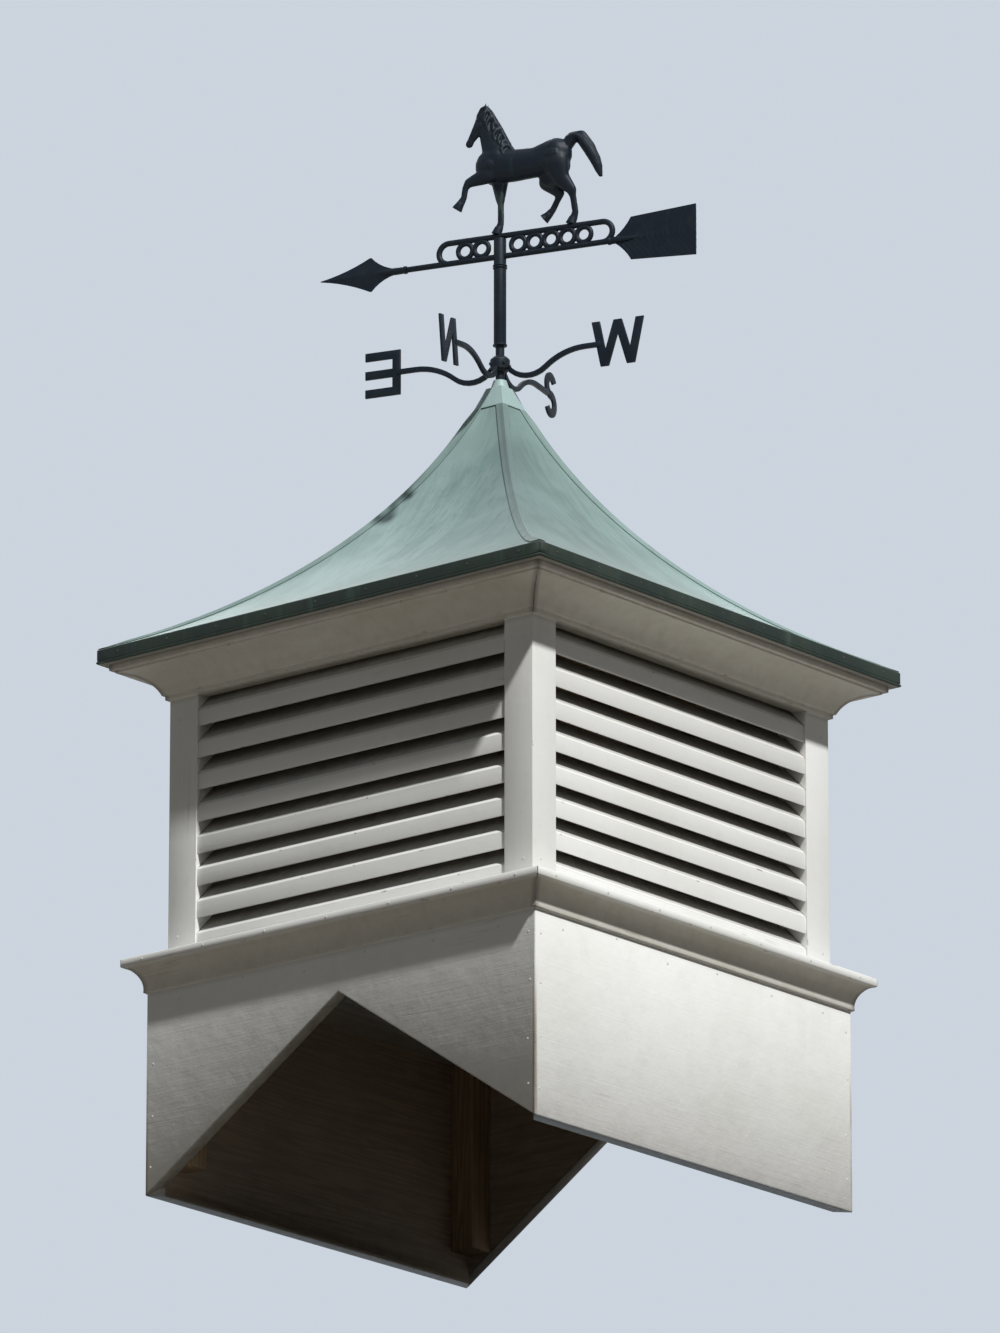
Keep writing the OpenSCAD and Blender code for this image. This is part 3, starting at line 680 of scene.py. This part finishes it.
def copper_sheet(side):
    """One roof sheet: a rolled lip, the folded edge, and the hollow slope up to the top."""
    rows = [(ROOF_HALF - 0.010, EAVES_Z + 0.0006)]
    for i in range(7):
        turn = math.radians(-90 + 30 * i)
        rows.append((ROOF_HALF - LIP_RADIUS + LIP_RADIUS * math.cos(turn),
                     EAVES_Z + LIP_RADIUS + LIP_RADIUS * math.sin(turn)))
    rows += [(HEM_HALF, EAVES_Z + 0.0048), (HEM_HALF, EAVES_Z + 0.010), (HEM_HALF, EDGE_Z - 0.0008),
             (HEM_HALF - 0.0002, EDGE_Z), (HEM_HALF - 0.0007, EDGE_Z + 0.00045)]
    slope_rows = 64
    rows += [roof_point(0.012 + 0.988 * i / slope_rows) for i in range(slope_rows + 1)]
    bm = bmesh.new()
    columns = 40
    bmesh.ops.create_grid(bm, x_segments=columns, y_segments=len(rows) - 1, size=1)
    for v in bm.verts:
        out, height = rows[round((v.co.y + 1) / 2 * (len(rows) - 1))]
        v.co = (v.co.x * out, -out, height)
    spin(bm, bm.verts, math.radians(SIDES[side]))
    bmesh.ops.recalc_face_normals(bm, faces=bm.faces)
    node = "roof_copper_" + side
    material, slot = finish_of(node)
    for face in bm.faces:
        face.material_index = int(face.calc_center_median().z < EDGE_Z - 0.0006)
    sheet = piece_of("copper_sheet_" + side, bm, "cupola", material, slot, 50.0)
    sheet.data.materials.append(FINISHES["copper_hem"])
    thicken(sheet, SHEET)
    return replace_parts(sheet, node)


def hip_folds():
    """Strips over the four hips: low at their edges, with a standing fold along the middle."""
    bm = bmesh.new()
    for corner in range(4):
        made = bmesh.ops.create_grid(bm, x_segments=16, y_segments=60, size=1)["verts"]
        for v in made:
            across = v.co.x * HIP_WIDTH / 2
            share = 0.004 + (v.co.y + 1) / 2 * (CAP_FOOT + 0.022)
            out, _ = roof_point(share)
            x, y = out + across / math.sqrt(2), out - across / math.sqrt(2)
            far = min(max(abs(x), abs(y)), ROOF_HALF - 0.0012)
            full = min(1.0, max(0.0, (CAP_FOOT - share) / 0.05), max(0.0, (share - 0.01) / 0.05))
            fold = FOLD_RISE * full * max(0.0, 1 - (across / FOLD_HALF) ** 2)
            lift = (STRIP + fold) / math.cos(roof_slope(share))
            v.co = (min(x, far), min(y, far), roof_level(far) + lift)
        spin(bm, made, math.radians(90 * corner))
    hips = piece_of("hip_folds", bm, "cupola", FINISHES["copper_strip"], "green_copper", 60.0)
    thicken(hips, STRIP)
    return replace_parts(hips, "hip_strips")


def skin(bm, columns, rows, place):
    """A grid of faces whose corners go where place(u, v) says, with u and v from 0 to 1."""
    corners = bmesh.ops.create_grid(bm, x_segments=columns, y_segments=rows, size=1)["verts"]
    for v in corners:
        v.co = place((v.co.x + 1) / 2, (v.co.y + 1) / 2)
    return corners


def closed_skin(bm, columns, rows, place):
    """A tube of faces: place(u, 0) is place(u, 1), and both ends are filled."""
    corners = skin(bm, columns, rows, place)
    bmesh.ops.remove_doubles(bm, verts=corners, dist=1e-6)
    rims = {e for v in corners if v.is_valid for e in v.link_edges if e.is_boundary}
    bmesh.ops.holes_fill(bm, edges=list(rims), sides=0)


def strand(bm, points, radii, sides=8, across=(0, 1, 0)):
    """A round strand through points, with a radius at each, whose ends are closed."""
    points = [Vector(point) for point in points]
    last = len(points) - 1
    rings = []
    for i, point in enumerate(points):
        run = (points[min(i + 1, last)] - points[max(i - 1, 0)]).normalized()
        up = run.cross(Vector(across)).normalized()
        rings.append((point, up, up.cross(run), radii[i]))

    def place(u, v):
        point, up, beside, radius = rings[round(u * last)]
        turn = 2 * math.pi * v
        return point + radius * (math.cos(turn) * up + math.sin(turn) * beside)

    closed_skin(bm, last, sides, place)


def melted(bm, grain, rounds):
    """One closed skin over all the shapes in a bmesh, with the joints between them smoothed."""
    mesh = bpy.data.meshes.new("melted")
    bm.to_mesh(mesh)
    bm.free()
    block = bpy.data.objects.new("melted", mesh)
    bpy.context.scene.collection.objects.link(block)
    joined = block.modifiers.new("joined", "REMESH")
    joined.mode = "VOXEL"
    joined.voxel_size = grain
    eased = block.modifiers.new("eased", "SMOOTH")
    eased.factor = 0.5
    eased.iterations = rounds
    made = bpy.data.meshes.new_from_object(block.evaluated_get(bpy.context.evaluated_depsgraph_get()))
    result = bmesh.new()
    result.from_mesh(made)
    bpy.data.objects.remove(block)
    bpy.data.meshes.remove(mesh)
    bpy.data.meshes.remove(made)
    return result


def spin(bm, corners, angle):
    """Turns some corners of a shape about the rod's axis."""
    bmesh.ops.rotate(bm, verts=corners, cent=(0, 0, 0), matrix=Matrix.Rotation(angle, 3, "Z"))


def turned(bm, angle):
    """Turns a whole shape about the rod's axis."""
    spin(bm, bm.verts, angle)
    return bm


def vane_piece(name, bm, material, sharp=35.0):
    """Turns a shape drawn with the arrow along X to its rest, as a piece that rides on the vane."""
    turned(bm, VANE_TURN)
    bmesh.ops.recalc_face_normals(bm, faces=bm.faces)
    return piece_of(name, bm, "vane", material, "dark_metal", sharp)


def horse_point(x, z, y=0.0):
    """A place on the horse from its drawing, which is in millimetres for a round body."""
    return Vector((x / 1000, y / 1000 * SWELL, HORSE_Z + z / 1000))


def mane(body, beside):
    """Locks down both sides of the neck, from the crest to the withers, and the forelock."""
    crest = [(17, 182), (12, 173), (6, 163), (1, 153), (-4, 143), (-9, 133), (-12, 126)]
    for i, (x, z) in enumerate(crest):
        sway = 2.0 * math.sin(i * 2.4)
        fall = 1.0 - 0.075 * i
        for way in (-1, 1):
            strand(body, [horse_point(x, z, way), beside(x + 3, z - 8 * fall, way, 0.0004),
                          beside(x + 4 + sway, z - 18 * fall, way, 0.0006),
                          beside(x + 1 + sway, z - 29 * fall, way, 0.0002)],
                   [0.0028, 0.0030, 0.0024, 0.0007])
            strand(body, [horse_point(x - 1, z - 4, way), horse_point(x - 4, z - 10 * fall, way * 4),
                          horse_point(x - 6 - sway, z - 19 * fall, way * 5),
                          horse_point(x - 11 - sway, z - 27 * fall, way * 4)],
                   [0.0026, 0.0030, 0.0024, 0.0007])
    for y in (-4, 0, 4):
        strand(body, [horse_point(19, 184, y), horse_point(26, 181, y * 1.2), horse_point(32, 172, y),
                      horse_point(35, 164, y * 0.6)], [0.0022, 0.0024, 0.0018, 0.0006])


def tail(body):
    """Strands round the dock that draw together to a point."""
    dock = [(-96, 108), (-105, 121), (-114, 123), (-122, 117), (-130, 105), (-137, 92), (-142, 79),
            (-145, 69)]
    girth = [6.0, 6.4, 7.0, 7.6, 8.0, 7.4, 5.6, 3.4]
    strands = 11
    for k in range(strands):
        turn = 2 * math.pi * k / strands
        path = []
        for j, ((x, z), wide) in enumerate(zip(dock, girth)):
            lean = turn + 0.10 * j
            path.append(horse_point(x + wide * math.cos(lean), z + wide * math.cos(lean) * 0.4,
                                    wide * 1.35 * math.sin(lean)))
        x, z = dock[-1]
        path.append(horse_point(x - 3 + 1.5 * math.cos(turn), z - 8, 1.5 * math.sin(turn)))
        strand(body, path, [0.0020, 0.0026, 0.0028, 0.0028, 0.0028, 0.0026, 0.0024, 0.0020, 0.0012])


def hooves(body):
    """A hoof at the end of each leg, which points the way that its toe does."""
    for x, z, y, toe in ((57.5, 44, 12, (6, -9)), (3.5, 4, 0, (3, -9)), (-105.5, 4, 0, (3, -9)),
                         (-66, 16.5, -10, (8, -6))):
        leg = Vector((-toe[0], 0, -toe[1])).to_track_quat("Z", "Y").to_matrix().to_4x4()
        flat = Matrix.Diagonal((1.0, 0.85, 1.0, 1.0))
        bmesh.ops.create_cone(body, cap_ends=True, segments=20, radius1=0.0078, radius2=0.0052, depth=0.0105,
                              matrix=Matrix.Translation(horse_point(x, z, y)) @ flat @ leg)


def swellings(body, beside):
    """On both sides a cheek, an eye and a nostril, and the swell of the shoulder and the haunch."""
    for way in (-1, 1):
        for x, z, size, proud in ((27, 157, 0.0072, -0.0052), (31, 165, 0.0022, -0.0006),
                                  (43, 137, 0.0016, -0.0006), (10, 96, 0.014, -0.0122),
                                  (-82, 98, 0.018, -0.0158)):
            bmesh.ops.create_uvsphere(body, u_segments=16, v_segments=10, radius=size,
                                      matrix=Matrix.Translation(beside(x, z, way, proud)))


def horse():
    """The trotting horse: a smooth body, on which its hair, hooves and swellings are laid."""
    body = melted(turned(merged("horse"), -VANE_TURN), 0.0013, 9)
    surface = BVHTree.FromBMesh(body)

    def beside(x, z, way, proud):
        """The place on the body's side at x, z, a little proud of its surface."""
        point = horse_point(x, z)
        hit = surface.ray_cast(Vector((point.x, way * 0.08, point.z)), Vector((0, -way, 0)))[0]
        point.y = (hit.y if hit else way * 0.001) + way * proud
        return point

    mane(body, beside)
    tail(body)
    hooves(body)
    swellings(body, beside)
    figure = melted(body, 0.0010, 2)
    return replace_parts(vane_piece("horse_figure", figure, FINISHES["figure"], 180.0), "horse")


def upper_rim(node):
    """Distances from the rod and half heights along the upper edge of one of the arrow's plates."""
    bm = turned(merged(node), -VANE_TURN)
    over = [v.co for v in bm.verts if v.co.z > SHAFT_Z + 1e-4]
    rim = sorted({(round(place.x, 5), round(place.z - SHAFT_Z, 5)) for place in over})
    bm.free()
    return rim


def half_height(rim, x):
    """Half the height of a plate at a distance from the rod, read from its rim."""
    for (x0, h0), (x1, h1) in zip(rim, rim[1:]):
        if x <= x1:
            return h0 + (h1 - h0) * (x - x0) / max(x1 - x0, 1e-9)
    return rim[-1][1]


def arrow_plate(node, columns, rows, thickness):
    """One of the arrow's plates, whose half thickness is given for each place along and across it."""
    rim = upper_rim(node)
    first, last = rim[0][0], rim[-1][0]
    half = rows // 2

    def place(u, v):
        x = first + (last - first) * u
        row = round(v * rows) % rows
        share = 1 - 2 * (row % half - 1) / (half - 2) if row % half else 1
        way = 1 if row < half else -1
        tall = way * share * half_height(rim, x)
        thick = thickness(u, x, abs(share), tall) if row % half else 0.0
        return Vector((x, way * thick, SHAFT_Z + tall))

    bm = bmesh.new()
    closed_skin(bm, columns, rows, place)
    return bm


def head_thickness(u, x, share, tall):
    """A spear point: thick along its middle, hollow on both sides, and thin at its rim."""
    return 0.0005 + 0.0030 * (1 - 0.7 * u) * (1 - share) ** 1.6


def feather_thickness(u, x, share, tall):
    """A feather: a quill along the middle, and barbs that sweep back from it."""
    barb = abs(2 * ((-x - 0.85 * abs(tall)) / 0.0078 % 1) - 1)
    quill = 0.0026 * (0.35 + 0.65 * u) * max(0.0, 1 - share / 0.12)
    return max(0.0007 + 0.0011 * barb * (1 - share ** 6), quill)


def socket(bm, foot, places):
    """The turned socket that holds a plate on the shaft's end."""
    strand(bm, [(foot + x, 0, SHAFT_Z) for x in places],
           [0.0042, 0.0054, 0.0054, 0.0047, 0.0050, 0.0036, 0.0012], 20)


def arrow_head():
    """The spear point with its socket."""
    bm = arrow_plate("arrow_head", 40, 28, head_thickness)
    foot = upper_rim("arrow_head")[0][0]
    socket(bm, foot, (-0.016, -0.0155, -0.012, -0.011, 0.002, 0.020, 0.034))
    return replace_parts(vane_piece("spear_head", bm, FINISHES["metal"]), "arrow_head")


def arrow_tail():
    """The feather with its socket."""
    bm = arrow_plate("arrow_tail", 150, 44, feather_thickness)
    foot = upper_rim("arrow_tail")[-1][0]
    socket(bm, foot, (0.010, 0.0095, 0.006, 0.005, -0.004, -0.022, -0.040))
    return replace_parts(vane_piece("feather_tail", bm, FINISHES["metal"]), "arrow_tail")


def ring(bm, middle, radius, wire, upright=False):
    """A round wire bent to a ring, which lies level or stands in the plane of the arrow."""
    def place(u, v):
        turn, round_wire = 2 * math.pi * u, 2 * math.pi * v
        out = radius + wire * math.cos(round_wire)
        across, rise = out * math.sin(turn), wire * math.sin(round_wire)
        return Vector(middle) + Vector((out * math.cos(turn), rise if upright else across,
                                        across if upright else rise))

    corners = skin(bm, 32, 8, place)
    bmesh.ops.remove_doubles(bm, verts=corners, dist=1e-6)


def stud(bm, at, facing, head):
    """A nail or screw head on a surface, a little sunk into it."""
    radius, height, sides = head
    turn = Vector(facing).to_track_quat("Z", "Y").to_matrix().to_4x4()
    middle = Vector(at) + Vector(facing).normalized() * (height / 2 - 0.0002)
    bmesh.ops.create_cone(bm, cap_ends=True, segments=sides, radius1=radius, radius2=radius * 0.6,
                          depth=height, matrix=Matrix.Translation(middle) @ turn)


def four_sides(bm, draw):
    """Draws the same things on all four sides, from a drawing of the front."""
    for angle in SIDES.values():
        before = set(bm.verts)
        draw(bm)
        spin(bm, [v for v in bm.verts if v not in before], math.radians(angle))


def spaced(reach, count):
    """Even places from -reach to reach."""
    return [reach * (2 * i / (count - 1) - 1) for i in range(count)]


def roof_nails(bm):
    """Nails along the hip strips on both sides, and along the folded edge."""
    for way in (-1, 1):
        for i in range(11):
            share = 0.03 + 0.087 * i
            out, _ = roof_point(share)
            slope = roof_slope(share)
            across = out - (HIP_WIDTH / 2 - 0.0022) * math.sqrt(2)
            stud(bm, (way * across, -out, roof_level(out) + STRIP), (0, -math.sin(slope), math.cos(slope)),
                 ROOF_NAIL)
    for x in spaced(0.344, 9):
        stud(bm, (x, -HEM_HALF, EAVES_Z + 0.0125), FORWARD, HEM_NAIL)


def board_nails(bm):
    """Nails in the base, driven by hand, and evenly in the sill, the cornice and the posts."""
    def astray(number, most=0.012):
        """How far off its even place a nail was driven."""
        return most * noise.noise(Vector((number * 1.37, 4.1, 0.6)))

    for way in (-1, 1):
        for i in range(4):
            x = way * (BASE_HALF - 0.010 + astray(i - way, 0.006))
            z = 0.040 + 0.068 * i + astray(7 * i + way)
            stud(bm, (x, -BASE_HALF, z), FORWARD, BOARD_NAIL)
    for i, x in enumerate(spaced(0.26, 6)):
        stud(bm, (x + astray(3 * i, 0.03), -BASE_HALF, 0.262 + astray(5 * i)), FORWARD, BOARD_NAIL)
    for share in spaced(1, 7):
        stud(bm, (0.318 * share, -SILL_HALF, SILL_TOP - 0.0052), FORWARD, SILL_NAIL)
        stud(bm, (0.333 * share, -CORNICE_HALF, EAVES_Z - 0.004), FORWARD, CORNICE_NAIL)
    for way in (-1, 1):
        for z in (SILL_TOP + 0.030, CORNICE_FOOT_Z - 0.030):
            stud(bm, (way * (BOX_HALF - 0.016), -BOX_HALF, z), FORWARD, POST_NAIL)


def sealant_line(bm, start, end, radius):
    """A bead of painted sealant laid by hand in a corner, a little uneven."""
    start, end = Vector(start), Vector(end)
    steps = max(6, round((end - start).length / 0.009))
    path = [start.lerp(end, i / steps) for i in range(steps + 1)]
    widths = [radius * (1.0 + 0.28 * noise.noise(point * 70.0)) for point in path]
    strand(bm, path, widths, 6, (0, 0, 1))


def sealant_beads(bm):
    """The beads under the cove, and at the head and foot of the posts."""
    out = BASE_HALF + 0.0002
    sealant_line(bm, (-out, -out, COVE_FOOT_Z), (out, -out, COVE_FOOT_Z), COVE_BEAD)
    for way in (-1, 1):
        for z in (SILL_TOP, CORNICE_FOOT_Z):
            start, end = (way * BOX_HALF, -BOX_HALF, z), (way * OPENING_HALF, -BOX_HALF, z)
            sealant_line(bm, start, end, POST_BEAD)


def fittings():
    """Nail heads, sealant and the small turned, screwed and bent parts of compass and vane."""
    roof = bmesh.new()
    four_sides(roof, roof_nails)
    piece_of("roof_nails", roof, "cupola", FINISHES["copper_nail"], "green_copper")
    boards = bmesh.new()
    four_sides(boards, board_nails)
    piece_of("board_nails", boards, "cupola", FINISHES["bead"], "white_paint")
    beads = bmesh.new()
    four_sides(beads, sealant_beads)
    bmesh.ops.recalc_face_normals(beads, faces=beads.faces)
    piece_of("sealant_lines", beads, "cupola", FINISHES["bead"], "white_paint", 60.0)
    screws = bmesh.new()
    for angle in (61, 151, 241, 331):
        facing = towards(angle, 0)
        stud(screws, Vector((0, 0, HUB_Z)) + facing * (HUB_RADIUS - 0.0004), facing, HUB_SCREW)
    piece_of("hub_screws", screws, "cupola", FINISHES["metal"], "dark_metal")
    collars = bmesh.new()
    for height in (SLEEVE_Z + 0.0016, SHAFT_Z - 0.0135, SHAFT_Z - 0.0165):
        ring(collars, (0, 0, height), SLEEVE_RADIUS, COLLAR_WIRE)
    bmesh.ops.recalc_face_normals(collars, faces=collars.faces)
    piece_of("sleeve_collars", collars, "vane", FINISHES["metal"], "dark_metal", 80.0)
    chain = bmesh.new()
    before_rod = [RING_X, RING_X + RING_PITCH]
    behind_rod = [-RING_X - RING_PITCH * i for i in range(5)]
    for x in before_rod + behind_rod:
        ring(chain, (x, 0, SHAFT_Z + BAR_RISE / 2), RING_RADIUS, RING_WIRE, upright=True)
    vane_piece("bar_rings", chain, FINISHES["metal"], 80.0)


def seen_rays(tree):
    """1 for rays that show a thing in the picture, straight, mirrored or through glass, else 0."""
    path = tree.nodes.new("ShaderNodeLightPath")
    seen = path.outputs["Is Camera Ray"]
    for kind in ("Is Glossy Ray", "Is Transmission Ray"):
        either = tree.nodes.new("ShaderNodeMath")
        either.operation = "MAXIMUM"
        tree.links.new(seen, either.inputs[0])
        tree.links.new(path.outputs[kind], either.inputs[1])
        seen = either.outputs[0]
    return seen


def floor_material():
    """A pale floor that keeps shadows, is seen through from below, and lets light under the object."""
    finish = Finish("pale_floor")
    seen = Value(finish, seen_rays(finish.tree))
    below = finish.add("ShaderNodeNewGeometry", output="Backfacing")
    near = 1.0 - (finish.add("ShaderNodeLightPath", output="Ray Length") > 0.006)
    finish.feed(finish.shader.inputs["Base Color"], finish.mix(seen, FLOOR_LIGHT, FLOOR_SEEN))
    finish.feed(finish.shader.inputs["Roughness"], 0.9)
    both = finish.add("ShaderNodeMixShader", {
        0: (seen * below).most(near), 1: Value(finish, finish.shader.outputs[0]),
        2: finish.add("ShaderNodeBsdfTransparent")})
    finish.feed(finish.tree.nodes["Material Output"].inputs["Surface"], both)
    return finish.material


def lay_floor():
    """A wide floor, just under the base so that the two don't meet."""
    ground = bmesh.new()
    bmesh.ops.create_grid(ground, x_segments=1, y_segments=1, size=FLOOR_HALF)
    mesh = bpy.data.meshes.new("floor")
    ground.to_mesh(mesh)
    ground.free()
    mesh.materials.append(floor_material())
    for v in mesh.vertices:
        v.co.z = FLOOR_Z
    floor = bpy.data.objects.new("floor", mesh)
    bpy.context.scene.collection.objects.link(floor)
    floor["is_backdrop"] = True


def lamp(name, azimuth, elevation, level, spread):
    """A far lamp in a direction, whose light comes from a disc spread degrees wide."""
    light = bpy.data.lights.new(name, "SUN")
    light.energy = level * math.pi
    light.angle = math.radians(spread)
    holder = bpy.data.objects.new(name, light)
    holder.rotation_mode = "QUATERNION"
    holder.rotation_quaternion = towards(azimuth, elevation).to_track_quat("Z", "Y")
    bpy.context.scene.collection.objects.link(holder)


def studio():
    """An even pale sky behind the object, which lights it more weakly than it shows."""
    world = bpy.data.worlds.new("studio")
    bpy.context.scene.world = world
    world.use_nodes = True
    nodes, links = world.node_tree.nodes, world.node_tree.links
    fill = nodes["Background"]
    fill.inputs["Color"].default_value = (*SKY_LIGHT, 1)
    fill.inputs["Strength"].default_value = SKY_LEVEL
    back = nodes.new("ShaderNodeBackground")
    back.inputs["Color"].default_value = (*SKY_SEEN, 1)
    back.inputs["Strength"].default_value = 1.0
    choice = nodes.new("ShaderNodeMixShader")
    links.new(seen_rays(world.node_tree), choice.inputs[0])
    links.new(fill.outputs[0], choice.inputs[1])
    links.new(back.outputs[0], choice.inputs[2])
    links.new(choice.outputs[0], nodes["World Output"].inputs["Surface"])


def aim_camera():
    """The photograph's view: from below, with the front to the right and the left side to the left."""
    data = bpy.data.cameras.new("camera")
    data.sensor_fit = "AUTO"
    data.lens = CAMERA_LENS
    data.clip_start = 0.5
    data.clip_end = 100
    camera = bpy.data.objects.new("camera", data)
    bpy.context.scene.collection.objects.link(camera)
    bpy.context.scene.camera = camera
    low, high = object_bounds()
    middle = (low + high) / 2 - Vector((0, 0, CAMERA_DROP))
    view_from = towards(CAMERA_AZIMUTH, CAMERA_ELEVATION)
    camera.location = middle + view_from * CAMERA_DISTANCE
    camera.rotation_mode = "QUATERNION"
    camera.rotation_quaternion = view_from.to_track_quat("Z", "Y")


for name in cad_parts:
    node_material, _ = finish_of(name)
    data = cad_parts[name].data
    data.materials.clear()
    data.materials.append(node_material)

for side in SIDES:
    dressed("base_wall_" + side, BOARD_EDGE)
    dressed("sill_" + side, MOULDING_EDGE)
    dressed("cornice_" + side, MOULDING_EDGE)
    dressed("louvres_" + side, LOUVRE_EDGE, 3)
    copper_sheet(side)
for post in ("front_right", "back_right", "back_left", "front_left"):
    dressed("post_" + post, LOUVRE_EDGE, 3)
for timber in ("base_corner_blocks", "roof_ribs", "king_post"):
    dressed(timber, BOARD_EDGE)
eaves = merged("eaves_frame")
for v in eaves.verts:
    v.co.x = max(-EAVES_HALF, min(EAVES_HALF, v.co.x))
    v.co.y = max(-EAVES_HALF, min(EAVES_HALF, v.co.y))
ease_edges(eaves, BOARD_EDGE)
eaves_piece = piece_of("eaves_frame_finished", eaves, "cupola", FINISHES["wood_around"], "bare_wood")
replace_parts(eaves_piece, "eaves_frame")
for metal in ("vane_rod", "compass_hub", "vane_sleeve"):
    dressed(metal, TURNED_EDGE, 2, 40.0)
for letter in ("east", "north", "west", "south"):
    dressed("compass_" + letter, LETTER_EDGE)
dressed("apex_cap", CAP_EDGE)
dressed("arrow_shaft", SHAFT_EDGE, 1, 40.0)
arrow_head()
arrow_tail()
horse()
fittings()
hip_folds()

lay_floor()
for lamp_name, setting in LAMPS.items():
    lamp(lamp_name, *setting)
studio()
aim_camera()

bpy.context.scene.view_settings.view_transform = "Standard"
